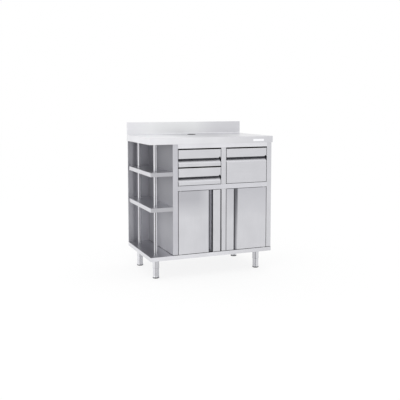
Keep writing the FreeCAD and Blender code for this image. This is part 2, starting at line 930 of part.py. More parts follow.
make_worktop()
make_worktop_stiffeners()
make_grommet()
make_base()
make_open_shelves()
make_posts()
make_side_panels()
make_back_panel()
make_rails()
make_mullion("mullion_upper", mid_rail_top, top_rail_foot)
make_mullion("mullion_lower", s.base_level, mid_rail_foot)
make_drawer_deck()
make_runner_panels()
make_inner_shelf()
make_base_stiffeners()
make_leg_screws()
for side, leg_x in (("left", leg_left), ("right", leg_right)):
    for end, leg_y in (("front", leg_front), ("rear", leg_rear)):
        make_leg(f"leg_{end}_{side}", leg_x, leg_y)
        make_foot(f"{end}_{side}", leg_x, leg_y)
make_doors()
make_catches()
make_drawer("upper_left", opening_left, upper_foot, s.drawer_front_height)
make_drawer("lower_left", opening_left, lower_foot, s.drawer_front_height)
make_drawer("right", mullion_right, lower_foot, tall_front_height)

doc.recompute()


# Checks and files.


def check_model():
    for item in doc.Objects:
        if {"Invalid", "Error"} & set(item.State):
            raise RuntimeError(f"{item.Label} did not recompute: {item.State}")
        if item.TypeId == "PartDesign::Pocket" and item.Shape.Volume >= item.BaseFeature.Shape.Volume:
            raise RuntimeError(f"{item.Label} in {item.getParentGeoFeatureGroup().Label} cuts nothing")
    for item in nodes:
        if item.Shape.isNull() or not item.Shape.isValid():
            raise RuntimeError(f"{item.Label} has no valid shape")


check_model()
os.makedirs("parts", exist_ok=True)
for item in nodes:
    item.Shape.exportStep(f"parts/{item.Label}.step")
print(f"{len(nodes)} sub-parts written")
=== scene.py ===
import bmesh
import bpy
import numpy as np
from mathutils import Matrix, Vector


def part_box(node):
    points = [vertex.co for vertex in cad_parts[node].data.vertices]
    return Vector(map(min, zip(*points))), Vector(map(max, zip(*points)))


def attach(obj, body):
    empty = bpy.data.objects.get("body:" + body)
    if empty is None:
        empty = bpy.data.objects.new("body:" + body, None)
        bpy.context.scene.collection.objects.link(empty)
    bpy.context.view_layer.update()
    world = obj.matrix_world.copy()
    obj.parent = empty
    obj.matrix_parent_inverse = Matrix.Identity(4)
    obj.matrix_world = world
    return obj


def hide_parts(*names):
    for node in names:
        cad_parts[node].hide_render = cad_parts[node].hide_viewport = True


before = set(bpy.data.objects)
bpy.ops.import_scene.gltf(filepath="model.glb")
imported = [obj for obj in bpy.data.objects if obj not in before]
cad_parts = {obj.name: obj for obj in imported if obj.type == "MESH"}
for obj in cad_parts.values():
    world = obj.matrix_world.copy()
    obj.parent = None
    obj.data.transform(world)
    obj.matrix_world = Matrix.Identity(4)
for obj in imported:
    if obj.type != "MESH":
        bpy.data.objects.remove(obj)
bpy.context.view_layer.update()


# Foot pads: turned discs of black rubber under the adjustable feet, with a rounded rim and two grooves. They keep
# the steel off the floor and stop the station from sliding.

MM = 0.001
X, Y, Z = range(3)
LOW, HIGH = range(2)
FEET = ("front_left", "rear_left", "front_right", "rear_right")
PAD_ROUND = 1.8
PAD_GROOVES = (2.6, 4.6)
GROOVE_DEPTH = 0.6


def linear(code):
    """Turns an sRGB hex colour into the linear colour that a shader takes."""
    rgb = np.array([int(code[i : i + 2], 16) for i in (1, 3, 5)]) / 255
    rgb = np.where(rgb <= 0.04045, rgb / 12.92, ((rgb + 0.055) / 1.055) ** 2.4)
    return (*rgb, 1.0)


def add(tree, kind, settings=(), links=(), stops=()):
    """Adds a node. Settings name its properties or inputs, links name its inputs and what feeds them, and stops are
    the places and sRGB colours along a colour ramp. A Mix node has its two colours at inputs 6 and 7."""
    node = tree.nodes.new(kind)
    for key, value in dict(settings).items():
        if isinstance(key, str) and hasattr(node, key):
            setattr(node, key, value)
        else:
            node.inputs[key].default_value = value
    for key, source in dict(links).items():
        tree.links.new(source, node.inputs[key])
    for i, (place, code) in enumerate(stops):
        node.color_ramp.elements[i].position = place
        node.color_ramp.elements[i].color = linear(code)
    return node


def per_metre(size):
    """How often a pattern of this size in millimetres repeats in a metre, which is what a noise takes as scale."""
    return 1 / (size * MM)


def new_material(name):
    """A material without nodes, and its node tree."""
    material = bpy.data.materials.new(name)
    material.use_nodes = True
    material.node_tree.nodes.clear()
    return material, material.node_tree


NOISE_RANGE = {"From Min": 0.3, "From Max": 0.7}


def moulded(name, dark, light, roughness, grit=0.8, depth=0.03):
    """Moulded plastic or rubber. A fine noise gives the eroded surface of the mould, grit mm across and depth mm
    deep. A slow one gives scuffs, 22 mm across: slightly lighter patches that are a little rougher."""
    material, tree = new_material(name)
    place = add(tree, "ShaderNodeTexCoord").outputs["Object"]
    fine = add(tree, "ShaderNodeTexNoise", {"Scale": per_metre(grit), "Detail": 2.0}, {"Vector": place})
    scuffs = add(tree, "ShaderNodeTexNoise", {"Scale": per_metre(22), "Detail": 3.0}, {"Vector": place})
    colour = add(tree, "ShaderNodeValToRGB", links={0: scuffs.outputs[0]}, stops=[(0.4, dark), (0.75, light)])
    span = {**NOISE_RANGE, "To Min": roughness - 0.05, "To Max": roughness + 0.08}
    rough = add(tree, "ShaderNodeMapRange", span, {"Value": scuffs.outputs[0]})
    bump = add(tree, "ShaderNodeBump", {"Strength": 0.6, "Distance": depth * MM}, {"Height": fine.outputs[0]})
    feeds = {"Base Color": colour.outputs[0], "Roughness": rough.outputs[0], "Normal": bump.outputs[0]}
    shader = add(tree, "ShaderNodeBsdfPrincipled", links=feeds)
    add(tree, "ShaderNodeOutputMaterial", links={"Surface": shader.outputs[0]})
    return material


def turned(profile, centre, count=48):
    """A surface of revolution: each (radius, height) point of the closed profile becomes a ring of points at
    equal angles about the vertical line through centre. Rows follow the profile and columns go round."""
    radius, height = np.array(profile, float).T
    angle = np.linspace(0, 2 * np.pi, count, endpoint=False)
    x = centre[X] + radius[:, None] * np.cos(angle)
    y = centre[Y] + radius[:, None] * np.sin(angle)
    z = centre[Z] + np.repeat(height[:, None], count, axis=1)
    return np.stack((x, y, z), axis=-1)


def rounded(corners, radius, closed=False, steps=4):
    """Rounds the corners of a profile: each gives way to a quadratic curve between the two points that lie radius
    away from it along its sides, or halfway along a side that is too short. An open profile keeps its ends."""
    corners = np.array(corners, float)
    if closed:
        before, at, after = np.roll(corners, 1, axis=0), corners, np.roll(corners, -1, axis=0)
    else:
        before, at, after = corners[:-2], corners[1:-1], corners[2:]
    sides = [other - at for other in (before, after)]
    lengths = [np.linalg.norm(side, axis=1)[:, None] for side in sides]
    start, end = (at + side / length * np.minimum(radius, length / 2) for side, length in zip(sides, lengths))
    t = np.linspace(0, 1, steps + 1)[None, :, None]
    curve = (1 - t) ** 2 * start[:, None] + 2 * t * (1 - t) * at[:, None] + t**2 * end[:, None]
    curve = curve.reshape(-1, 2)
    return curve if closed else np.concatenate((corners[:1], curve, corners[-1:]))


def shell(grids):
    """Vertices and quads of closed surfaces, and each vertex's place in degrees round the middle of its row.
    Columns go round. Rows close on each other as well, unless the first and the last are each a single point."""
    points = []
    quads = []
    turns = []
    first = 0
    for grid in grids:
        rows, columns = grid.shape[:2]
        index = first + np.arange(rows * columns).reshape(rows, columns)
        below = np.roll(index, -1, axis=0)
        faces = np.stack((index, np.roll(index, -1, 1), np.roll(below, -1, 1), below), axis=-1)
        poles = max(np.ptp(grid[0], axis=0).max(), np.ptp(grid[-1], axis=0).max()) < 1e-6
        quads.append(faces[: rows - poles].reshape(-1, 4))
        points.append(grid.reshape(-1, 3) * MM)
        outward = grid - grid.mean(axis=1, keepdims=True)
        turns.append(np.degrees(np.arctan2(outward[..., Y], outward[..., X])).ravel())
        first += rows * columns
    return np.concatenate(points), np.concatenate(quads), np.concatenate(turns)


def make_piece(name, grids, material, body, replaced=(), crease=35, reflection_streaks=()):
    """Puts closed grids into one mesh, merges points that meet on an axis, and ties the piece to its body. Its streaks
    are painted reflections: (degrees, strength) pairs round the axis, which a point attribute carries in between."""
    points, quads, turns = shell(grids)
    mesh = bpy.data.meshes.new(name)
    mesh.from_pydata(points.tolist(), [], quads.tolist())
    if reflection_streaks:
        painted_reflection = mesh.attributes.new("painted_reflection", "FLOAT", "POINT")
        painted_reflection.data.foreach_set("value", np.interp(turns, *np.array(reflection_streaks, float).T, period=360))
    work = bmesh.new()
    work.from_mesh(mesh)
    bmesh.ops.remove_doubles(work, verts=work.verts, dist=1e-6)
    bmesh.ops.recalc_face_normals(work, faces=work.faces)
    work.to_mesh(mesh)
    work.free()
    mesh.polygons.foreach_set("use_smooth", np.ones(len(mesh.polygons), bool))
    mesh.set_sharp_from_angle(angle=np.radians(crease))
    mesh.materials.append(material)
    piece = bpy.data.objects.new(name, mesh)
    bpy.context.collection.objects.link(piece)
    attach(piece, body)
    if replaced:
        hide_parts(*replaced)
    return piece


def extent(node):
    """The lowest and highest corners of a node in millimetres."""
    low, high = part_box(node)
    return np.array(low) / MM, np.array(high) / MM


def middle(node):
    """The middle of a node's box in millimetres."""
    low, high = extent(node)
    return (low + high) / 2


# Rubber looks dull and nearly black, with greyer scuffs.
pad_rubber = moulded("black_pad_rubber", "#232427", "#3A3B3E", 0.6)
for end in FEET:
    low, high = extent(f"foot_pad_{end}")
    rim = (high[X] - low[X]) / 2
    waist = rim - GROOVE_DEPTH
    top = high[Z]
    side = [(rim - PAD_ROUND, 0), (rim, PAD_ROUND)]
    for level in PAD_GROOVES:
        side += [(rim, level), (waist, level + 0.3), (waist, level + 0.7), (rim, level + 1.0)]
    profile = rounded([(0, 0), *side, (rim, top), (0, top)], 0.3)
    grid = turned(profile, (*middle(f"foot_pad_{end}")[:2], 0))
    body = f"levelling_foot_{end}"
    make_piece(f"pad_{end}", [grid], pad_rubber, body, [f"foot_pad_{end}"])


# Adjustable feet: stainless bells turned on a lathe, each with a threaded stem, M16 with a pitch of 2 mm, that
# screws into the leg. The bell flares to a rim over its pad, and is polished like the tube above it.

STEM = 8.0
THREAD_PITCH = 2.0
THREAD_DEPTH = 0.9
BELL_STEP = 1.5
RIM_HEIGHT = 3.5
TAPER_HEIGHT = 7.0


def threaded(radius, foot, top, centre, count=32):
    """A screw thread: its radius swings between crest and root as a triangle wave of height over pitch less
    angle over a full turn. Its ends taper to the root and close on the axis."""
    rows = int((top - foot) / THREAD_PITCH * 8)
    height = np.linspace(foot, top, rows)[:, None]
    angle = np.linspace(0, 2 * np.pi, count, endpoint=False)[None, :]
    phase = (height / THREAD_PITCH - angle / (2 * np.pi)) % 1
    taper = np.clip(np.minimum(height - foot, top - height) / THREAD_PITCH, 0, 1)
    reach = radius - THREAD_DEPTH + THREAD_DEPTH * taper * np.abs(2 * phase - 1)
    reach = np.concatenate((np.zeros((1, count)), reach, np.zeros((1, count))))
    height = np.concatenate((height[:1], height, height[-1:]))
    x, y = centre[X] + reach * np.cos(angle), centre[Y] + reach * np.sin(angle)
    return np.stack((x, y, np.repeat(height, count, axis=1)), axis=-1)


def turned_steel(name, dark, light, roughness, ring=1.2, depth=0.03, reflection_dark=None):
    """Turned or ring-polished stainless tube: fine rings across its axis, a noise 125 mm wide and ring mm high so
    that they show, over a slow change of tone, 83 mm across. The rings draw each highlight out along the tube
    and leave it sharp across. The axis that they run round leans slightly, so that it is square to no face.
    The last argument is the colour of painted reflections: dark upright streaks that stand in for the room
    reflected in the tube, shown where the mesh's streak attribute is 1."""
    material, tree = new_material(name)
    place = add(tree, "ShaderNodeTexCoord").outputs["Object"]
    ring_scale = (per_metre(125), per_metre(125), per_metre(ring))
    flat = add(tree, "ShaderNodeMapping", {"Scale": ring_scale}, {"Vector": place})
    rings = add(tree, "ShaderNodeTexNoise", {"Scale": 1.0, "Detail": 2.0}, {"Vector": flat.outputs[0]})
    clouds = add(tree, "ShaderNodeTexNoise", {"Scale": per_metre(83), "Detail": 2.0}, {"Vector": place})
    tones = [(0.35, dark), (0.65, light)]
    colour = add(tree, "ShaderNodeValToRGB", links={0: clouds.outputs[0]}, stops=tones).outputs[0]
    if reflection_dark:
        painted_reflection = add(tree, "ShaderNodeAttribute", {"attribute_name": "painted_reflection"})
        blend = {0: painted_reflection.outputs["Fac"], 6: colour}
        colour = add(tree, "ShaderNodeMix", {"data_type": "RGBA", 7: linear(reflection_dark)}, blend).outputs[2]
    span = {**NOISE_RANGE, "To Min": roughness - 0.03, "To Max": roughness + 0.04}
    rough = add(tree, "ShaderNodeMapRange", span, {"Value": rings.outputs[0]})
    bump = add(tree, "ShaderNodeBump", {"Strength": 0.4, "Distance": depth * MM}, {"Height": rings.outputs[0]})
    upward = add(tree, "ShaderNodeCombineXYZ", {"X": 0.02, "Y": 0.03, "Z": 1.0})
    feeds = {"Base Color": colour, "Roughness": rough.outputs[0], "Normal": bump.outputs[0]}
    feeds["Tangent"] = upward.outputs[0]
    shader = add(tree, "ShaderNodeBsdfPrincipled", {"Metallic": 1.0, "Anisotropic": 0.8}, feeds)
    add(tree, "ShaderNodeOutputMaterial", links={"Surface": shader.outputs[0]})
    return material


# Satin tube looks bright, with soft grey streaks from top to bottom: painted reflections, bright and dark, that
# stand in for the room reflected in the tube. The streaks are pairs of degrees round the tube and strength.
tube_steel = turned_steel("satin_tube_steel", "#DCDCE0", "#E8E8EB", 0.22, reflection_dark="#8A8A8F")
LEG_REFLECTIONS = [(12, 0.5), (24, 0.35), (46, 0.35), (54, 0.9), (66, 0.9), (74, 0.25), (102, 0.25), (124, 0.4), (145, 0.1)]
LEG_REFLECTIONS += [(165, 0.0), (213, 0.0), (228, 0.1), (243, 0.6), (258, 0.5), (274, 0.35), (291, 0.55), (313, 0.45)]
LEG_REFLECTIONS += [(335, 0.8)]
LEG_REFLECTION_TURNS = {"front_left": 0, "rear_left": -6, "front_right": 180, "rear_right": 160}


def leg_reflections(end):
    """The painted reflection streaks of the leg at this end, turned round it by the leg's own listed angle."""
    return [(degrees - LEG_REFLECTION_TURNS[end], strength) for degrees, strength in LEG_REFLECTIONS]


for end in FEET:
    low, high = extent(f"foot_{end}")
    centre = (*middle(f"foot_{end}")[:2], 0)
    flare = (high[X] - low[X]) / 2
    bell = flare - BELL_STEP
    rim = low[Z] + RIM_HEIGHT
    seat = extent(f"leg_{end}")[LOW][Z] - 0.3
    profile = [(0, low[Z]), (flare, low[Z]), (flare, rim), (bell, rim + TAPER_HEIGHT)]
    profile += [(bell, seat), (bell - 6, seat), (0, seat)]
    grids = [turned(rounded(profile, 3), centre), threaded(STEM, seat - 1, high[Z], centre)]
    body = f"levelling_foot_{end}"
    # The bells carry their legs' painted reflection streaks.
    reflection_streaks = leg_reflections(end)
    make_piece(f"foot_bell_{end}", grids, tube_steel, body, [f"foot_{end}"], reflection_streaks=reflection_streaks)


# Legs: stainless tube, 50 mm across, welded to a square plate. A ribbed weld bead runs round the joint, and a
# threaded plug in the tube's end takes the foot's stem.

LEG_RADIUS = 25.0
LEG_WALL = 1.8
LEG_PLUG = 18
LEG_PLATE = 4
LEG_BEAD = 1.8
BEAD_RIPPLES = 40


def weld_bead(centre, ring, bead, count=160):
    """A weld bead round a tube: a torus whose thickness swells and thins by 14% BEAD_RIPPLES times on its way
    round, and which is pressed to 0.8 of its height."""
    around = np.linspace(0, 2 * np.pi, count, endpoint=False)[None, :]
    across = np.linspace(0, 2 * np.pi, 10, endpoint=False)[:, None]
    thick = bead * (1 + 0.14 * np.cos(BEAD_RIPPLES * around + 0.5 * np.cos(across)))
    reach = ring + thick * np.cos(across)
    x, y = centre[X] + reach * np.cos(around), centre[Y] + reach * np.sin(around)
    return np.stack((x, y, centre[Z] + thick * np.sin(across) * 0.8), axis=-1)


def square_plate(centre, half, hole, foot, top, edge=0.6, count=96):
    """A square plate with a round hole. Its outline is a superellipse of power 14: the radius at an angle is half
    over the 14th root of |cos|^14 + |sin|^14. Small chamfers run along its upper and lower edges."""
    angle = np.linspace(0, 2 * np.pi, count, endpoint=False) + np.pi / 4
    power = 14
    square = half / (np.abs(np.cos(angle)) ** power + np.abs(np.sin(angle)) ** power) ** (1 / power)
    ring = np.full(count, float(hole))
    reach = np.stack((ring, square - edge, square, square, square - edge, ring))
    height = np.array((foot, foot, foot + edge, top - edge, top, top), float)[:, None]
    x, y = centre[X] + reach * np.cos(angle), centre[Y] + reach * np.sin(angle)
    return np.stack((x, y, np.repeat(height, count, axis=1)), axis=-1)


for end in FEET:
    low, high = extent(f"leg_{end}")
    centre = middle(f"leg_{end}")
    foot, plug_top, plate_foot = low[Z], low[Z] + LEG_PLUG, high[Z] - LEG_PLATE
    thread, inside = STEM + 0.05, LEG_RADIUS - LEG_WALL
    tube = [(thread, foot), (LEG_RADIUS, foot), (LEG_RADIUS, plate_foot), (inside, plate_foot)]
    tube += [(inside, plug_top), (thread, plug_top)]
    grids = [
        turned(rounded(tube, 0.6, closed=True), (centre[X], centre[Y], 0)),
        square_plate(centre, (high[X] - low[X]) / 2, inside, plate_foot, high[Z]),
        weld_bead((centre[X], centre[Y], plate_foot - 0.8), LEG_RADIUS + 0.6, LEG_BEAD),
    ]
    # Painted reflections: the leg's bright and dark upright streaks.
    reflection_streaks = leg_reflections(end)
    make_piece(f"leg_tube_{end}", grids, tube_steel, "cabinet", [f"leg_{end}"], reflection_streaks=reflection_streaks)


# Leg screws: four flanged hexagon heads under each leg plate, cold-formed from stainless wire. They hold the plate
# to a hat section under the base tray, and sit on a square with sides of 64 mm.

SCREW_SPACING = 64
SCREW_FLATS = 10
SCREW_FLANGE = 1.6


def hexagon_head(centre, flats, foot, top, count=36):
    """A hexagon head on a round flange. The hexagon's radius at an angle is its half width over the cosine of the
    angle to the nearest flat, and at its free end a chamfer cuts the corners back to a circle."""
    angle = np.linspace(0, 2 * np.pi, count, endpoint=False)
    half = flats / 2
    corner = half / np.cos((angle + np.pi / 6) % (np.pi / 3) - np.pi / 6)
    flange = np.full(count, half + SCREW_FLANGE)
    none = np.zeros(count)
    reach = np.stack((none, flange, flange, corner, corner, np.minimum(corner, half), np.full(count, half * 0.8), none))
    height = np.array((top, top, top - 0.8, top - 1.0, foot + 0.7, foot + 0.15, foot, foot))[:, None]
    x, y = centre[X] + reach * np.cos(angle), centre[Y] + reach * np.sin(angle)
    return np.stack((x, y, np.repeat(height, count, axis=1)), axis=-1)


# Cold-formed screws look plain grey and a little glossy.
screw_steel = turned_steel("plain_screw_steel", "#8F9095", "#A9AAAF", 0.3, ring=0.8)
screw_foot = extent("leg_screws")[LOW][Z]
grids = []
for end in FEET:
    centre = middle(f"leg_{end}")
    plate_foot = extent(f"leg_{end}")[HIGH][Z] - LEG_PLATE
    for i in (-1, 1):
        for j in (-1, 1):
            place = (centre[X] + SCREW_SPACING / 2 * i, centre[Y] + SCREW_SPACING / 2 * j)
            grids.append(hexagon_head(place, SCREW_FLATS, screw_foot, plate_foot))
make_piece("screw_heads", grids, screw_steel, "cabinet", ["leg_screws"], crease=25)


# Base tray: a folded pan of 1.5 mm stainless sheet on two hat sections. Its satin brushed finish runs along the
# station, and its skirt is hemmed underneath.

BRUSH_GAP = 2.0
BRUSH_LENGTH = 167


def window(tree, place, *limits):
    """A factor from 0 to 1 over Object coordinates: each limit (axis, none, full) rises from 0 where the
    coordinate is none mm to 1 where it is full mm, and all limits are multiplied."""
    parts = add(tree, "ShaderNodeSeparateXYZ", links={0: place})
    factor = None
    for axis, none, full in limits:
        span = {"From Min": none * MM, "From Max": full * MM}
        step = add(tree, "ShaderNodeMapRange", span, {"Value": parts.outputs[axis]}).outputs[0]
        both = {0: factor, 1: step}
        factor = add(tree, "ShaderNodeMath", {"operation": "MULTIPLY"}, both).outputs[0] if factor else step
    return factor


def brushed_shader(tree, dark, light, grain, roughness=0.34, wave=0.6, fades=()):
    """Brushed stainless sheet. The brush lines are a noise stretched to BRUSH_LENGTH mm along the axis grain, and
    BRUSH_GAP mm apart so that they show. A slow noise, 143 mm across, gives thin sheet its waviness, wave mm
    high, and its uneven polish. Each entry (colour, limits) of the painted light and shade turns the sheet to its
    colour
    where the window of its limits opens: painted shade in gaps, folds and recesses, and ends painted lighter or darker."""
    place = add(tree, "ShaderNodeTexCoord").outputs["Object"]
    line_scale = np.full(3, per_metre(BRUSH_GAP))
    line_scale[grain] = per_metre(BRUSH_LENGTH)
    lines_at = add(tree, "ShaderNodeMapping", {"Scale": line_scale}, {"Vector": place})
    lines = add(tree, "ShaderNodeTexNoise", {"Scale": 1.0, "Detail": 3.0}, {"Vector": lines_at.outputs[0]})
    clouds = add(tree, "ShaderNodeTexNoise", {"Scale": per_metre(143), "Detail": 2.0}, {"Vector": place})
    half = add(tree, "ShaderNodeMath", {"operation": "MULTIPLY", 1: 0.5}, {0: lines.outputs[0]})
    both = {0: clouds.outputs[0], 2: half.outputs[0]}
    tone = add(tree, "ShaderNodeMath", {"operation": "MULTIPLY_ADD", 1: 0.5}, both)
    tones = [(0.35, dark), (0.65, light)]
    colour = add(tree, "ShaderNodeValToRGB", links={0: tone.outputs[0]}, stops=tones).outputs[0]
    for code, limits in fades:
        fade = {0: window(tree, place, *limits), 6: colour}
        colour = add(tree, "ShaderNodeMix", {"data_type": "RGBA", 7: linear(code)}, fade).outputs[2]
    span = {**NOISE_RANGE, "To Min": roughness - 0.04, "To Max": roughness + 0.05}
    rough = add(tree, "ShaderNodeMapRange", span, {"Value": tone.outputs[0]})
    sheet = add(tree, "ShaderNodeBump", {"Strength": 1.0, "Distance": wave * MM}, {"Height": clouds.outputs[0]})
    brush = {"Strength": 0.5, "Distance": 0.08 * MM}
    normal = add(tree, "ShaderNodeBump", brush, {"Height": lines.outputs[0], "Normal": sheet.outputs[0]})
    feeds = {"Base Color": colour, "Roughness": rough.outputs[0], "Normal": normal.outputs[0]}
    return add(tree, "ShaderNodeBsdfPrincipled", {"Metallic": 1.0}, feeds)


def brushed_steel(name, dark, light, grain, **finish):
    """A material that is brushed steel all over."""
    material, tree = new_material(name)
    shader = brushed_shader(tree, dark, light, grain, **finish)
    add(tree, "ShaderNodeOutputMaterial", links={"Surface": shader.outputs[0]})
    return material


def dress(material, *names):
    """Gives a material to nodes of the frame."""
    for name in names:
        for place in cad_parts[name].material_slots:
            place.material = material


tray_front = extent("base_tray")[LOW][Y]
tray_top = extent("base_tray")[HIGH][Z]
tray_face = (Z, tray_top - 1.2, tray_top - 0.4)
bay_end = extent("side_panel_left")[LOW][X]

# Brushed sheet gives wide, soft reflections. The tray's face is painted darker towards its open end, as painted
# shade in the bay under the shelves, and its front skirt darker towards the right, as painted shade.
tray_fades = [
    ("#ACACB1", [tray_face, (X, bay_end + 20, bay_end - 110)]),
    ("#CFCFD3", [(Y, tray_front + 1, tray_front), (X, 0, 450)]),
]
dress(brushed_steel("brushed_tray_steel", "#D6D6DA", "#E0E0E4", X, fades=tray_fades), "base_tray")

# Hidden sections are folded from the same sheet and aren't polished again, so they look greyer.
under_steel = brushed_steel("plain_section_steel", "#ABABAF", "#BABABE", X, roughness=0.4)
dress(under_steel, "base_stiffeners")


# Open bay: two shelves folded like the base tray, and two posts of stainless tube that pass through them. Ribbed
# weld beads join the posts to the tray, to each shelf and to the worktop.

POST_WALL = 1.5

# The shelves' front skirts are painted darker than their faces, as painted shade.
shelf_front = extent("shelf_upper")[LOW][Y]
shelf_fades = [("#B2B2B6", [(Y, shelf_front + 8, shelf_front + 2)])]
shelf_steel = brushed_steel("brushed_shelf_steel", "#D0D0D4", "#DADADE", X, fades=shelf_fades)
dress(shelf_steel, "shelf_upper", "shelf_lower")

# Drawn posts look bright, with dark upright streaks that are painted reflections of the room.
post_steel = turned_steel("satin_post_steel", "#DADADE", "#E4E4E7", 0.2, depth=0.006, reflection_dark="#5C5C61")
POST_REFLECTIONS = [(20, 0.1), (45, 0.8), (70, 0.1), (100, 0.7), (130, 0.1), (155, 0.5), (177, 0.6), (200, 0.3)]
POST_REFLECTIONS += [(208, 0.05), (228, 0.05), (236, 0.9), (262, 0.9), (270, 0.0), (315, 0.0), (330, 0.5), (350, 0.7)]

post_low, post_high = extent("shelf_posts")
post_foot, post_top = post_low[Z], post_high[Z]
post_x = middle("shelf_posts")[X]
post = (post_high[X] - post_low[X]) / 2
tube = [(post - POST_WALL, post_foot), (post, post_foot), (post, post_top), (post - POST_WALL, post_top)]
joints = [(post_foot + 0.8, 1.4), (post_top - 0.8, 1.2)]
joints += [(extent(shelf)[HIGH][Z] + 0.6, 1.1) for shelf in ("shelf_lower", "shelf_upper")]
grids = []
for post_y in (post_low[Y] + post, post_high[Y] - post):
    grids.append(turned(tube, (post_x, post_y, 0)))
    grids += [weld_bead((post_x, post_y, level), post + 0.5, bead, 120) for level, bead in joints]
make_piece(
    "posts_with_welds", grids, post_steel, "cabinet", ["shelf_posts"], reflection_streaks=POST_REFLECTIONS
)


# Carcass: side panels whose folded front edges are the stiles, a back panel, rails and mullions, all of 1.2 mm
# stainless sheet. Uprights are brushed upwards and rails along. Behind the front plane their folds are painted a
# dull grey, as painted shade in the gaps and recesses.

FRONT = extent("top_rail")[LOW][Y]
# Behind the front plane the folds are painted a dull grey: painted shade in the gaps.
BEHIND = (Y, FRONT + 1, FRONT + 5)
PAINTED_GAP_SHADE = "#85858A"

# The left panel is the bay's wall, coarsely brushed, and painted darker inside towards its top: painted shade.
left_fades = [("#9C9CA1", [BEHIND, (Z, 90, 800)])]
left_steel = {"grain": Z, "roughness": 0.55, "fades": left_fades}
dress(brushed_steel("brushed_side_steel_left", "#C1C1C6", "#CBCBD0", **left_steel), "side_panel_left")

# The right panel is bright outside, and painted dull grey on its fold and inside near its front: painted shade.
panel_right = extent("side_panel_right")[HIGH][X]
right_fades = [(PAINTED_GAP_SHADE, [BEHIND, (X, panel_right - 8, panel_right - 12), (Y, FRONT + 80, FRONT + 50)])]
right_steel = brushed_steel("brushed_side_steel_right", "#C9C9CD", "#D3D3D7", Z, fades=right_fades)
dress(right_steel, "side_panel_right")

# The mullion's left edge is painted dark, as painted shade in the gap to the left door, darkest in its lower half.
mullion_left = extent("mullion_lower")[LOW][X]
near_front = (Y, FRONT + 14, FRONT + 11)
mullion_fades = [
    (PAINTED_GAP_SHADE, [BEHIND]),
    ("#4A4A4F", [(X, mullion_left + 3.5, mullion_left + 2.3), (Z, 660, 650), near_front]),
    ("#2E2E32", [(X, mullion_left + 4.5, mullion_left + 3.3), (Z, 370, 330), near_front]),
]
mullion_steel = brushed_steel("brushed_mullion_steel", "#C9C9CD", "#D3D3D7", Z, fades=mullion_fades)
dress(mullion_steel, "mullion_upper", "mullion_lower")

# The top rail is painted the brightest, as painted light from above. The mid rail is darker towards its left end.
top_rail_steel = brushed_steel("brushed_top_rail_steel", "#DADADE", "#E3E3E7", X, fades=[(PAINTED_GAP_SHADE, [BEHIND])])
dress(top_rail_steel, "top_rail")
mid_rail_fades = [("#C4C4C9", [(X, 150, -250)]), (PAINTED_GAP_SHADE, [BEHIND])]
mid_rail_steel = brushed_steel("brushed_mid_rail_steel", "#CFCFD4", "#D8D8DD", X, fades=mid_rail_fades)
dress(mid_rail_steel, "mid_rail")

# The back panel is painted darker towards the top of its inner face, in the open bay only: painted shade.
rear = extent("back_panel")[HIGH][Y]
in_bay = (X, bay_end + 1, bay_end - 1)
back_fades = [("#B2B2B7", [in_bay, (Y, rear - 0.3, rear - 0.9), (Z, -200, 700)])]
dress(brushed_steel("brushed_back_steel", "#C4C4C8", "#CECED2", Z, fades=back_fades), "back_panel")

dress(under_steel, "drawer_deck", "runner_panel_left", "runner_panel_centre", "runner_panel_right")

# Inside the cupboard nothing wears the brushed finish, so it looks even.
dress(brushed_steel("brushed_inner_shelf_steel", "#C9C9CE", "#D3D3D8", X), "cupboard_shelf", "shelf_ledges")


# Seals: thin fillets of dark grey silicone, tooled hollow, along the carcass's foot on the tray. Their dark grey
# stands in for the contact shadow in the joint, as painted shade. They keep spills out of the joint, and run round
# the open bay, under its stile, and under the mullion and the right stile.

SEAL = 3.0


def seal(path):
    """A fillet along the foot of a wall. The wall's line in plan runs with its open side on the right. A corner
    moves out along both neighbours' normals, n1 + n2 over 1 + n1.n2, times the fillet's reach. The hollow face is
    an arc about (SEAL, SEAL): reach SEAL (1 - sin t), height SEAL (1 - cos t). Each end closes to a point at the
    foot of the wall."""
    path = np.array(path, float)
    along = np.diff(path, axis=0)
    normal = np.stack((along[:, Y], -along[:, X]), axis=-1) / np.linalg.norm(along, axis=1)[:, None]
    before, after = np.concatenate((normal[:1], normal)), np.concatenate((normal, normal[-1:]))
    outward = (before + after) / (1 + (before * after).sum(axis=1))[:, None]
    t = np.radians(np.linspace(0, 90, 5))
    reach = np.append(SEAL * (1 - np.sin(t)), 0)
    height = np.append(SEAL * (1 - np.cos(t)), 0)
    foot = path[:, None] + outward[:, None] * reach[:, None]
    rows = np.concatenate((foot, np.broadcast_to(tray_top + height, foot.shape[:2])[..., None]), axis=-1)
    ends = [np.broadcast_to(row[-1], row.shape)[None] for row in (rows[0], rows[-1])]
    return np.concatenate((ends[0], rows, ends[1]))


# Silicone looks dark, smooth and slightly glossy; its dark grey is painted shade for the joint.
silicone_shade = moulded("dark_grey_silicone_painted_shade", "#3C3D40", "#4A4B4E", 0.45, grit=2.0)

# Round the bay the fillet runs along the left stile, the side panel and the back panel, half a millimetre inside
# its 1.2 mm sheet, and ends 1 mm before the front of that panel's fold.
back_low, back_high = extent("back_panel")
fold_x, fold_y = back_low[X] + 1.2, back_low[Y] + 1
wall_y = back_high[Y] - 0.7
mullion_right = extent("mullion_lower")[HIGH][X]
left_stile, right_stile = extent("side_panel_left")[HIGH][X], extent("side_panel_right")[LOW][X]
grids = [
    seal([(left_stile, FRONT), (bay_end, FRONT), (bay_end, wall_y), (fold_x, wall_y), (fold_x, fold_y)]),
    seal([(mullion_right, FRONT), (mullion_left, FRONT)]),
    seal([(panel_right - 2, FRONT), (right_stile, FRONT)]),
]
make_piece("foot_seals", grids, silicone_shade, "cabinet")


# Worktop: one folded pan of 1.5 mm stainless steel, grade 304, with a satin brushed finish whose lines run along
# the counter. It is cut, folded and closed at its corners by welds that are ground flush. A blank white film is
# stuck on its front, near the right end.

FILM_X = (331, 422)
FILM_Z = (1013.4, 1029.1)

counter_front = extent("worktop")[LOW][Y]
counter_level = extent("cable_grommet")[HIGH][Z]
upstand = (Z, counter_level + 2, counter_level + 12)
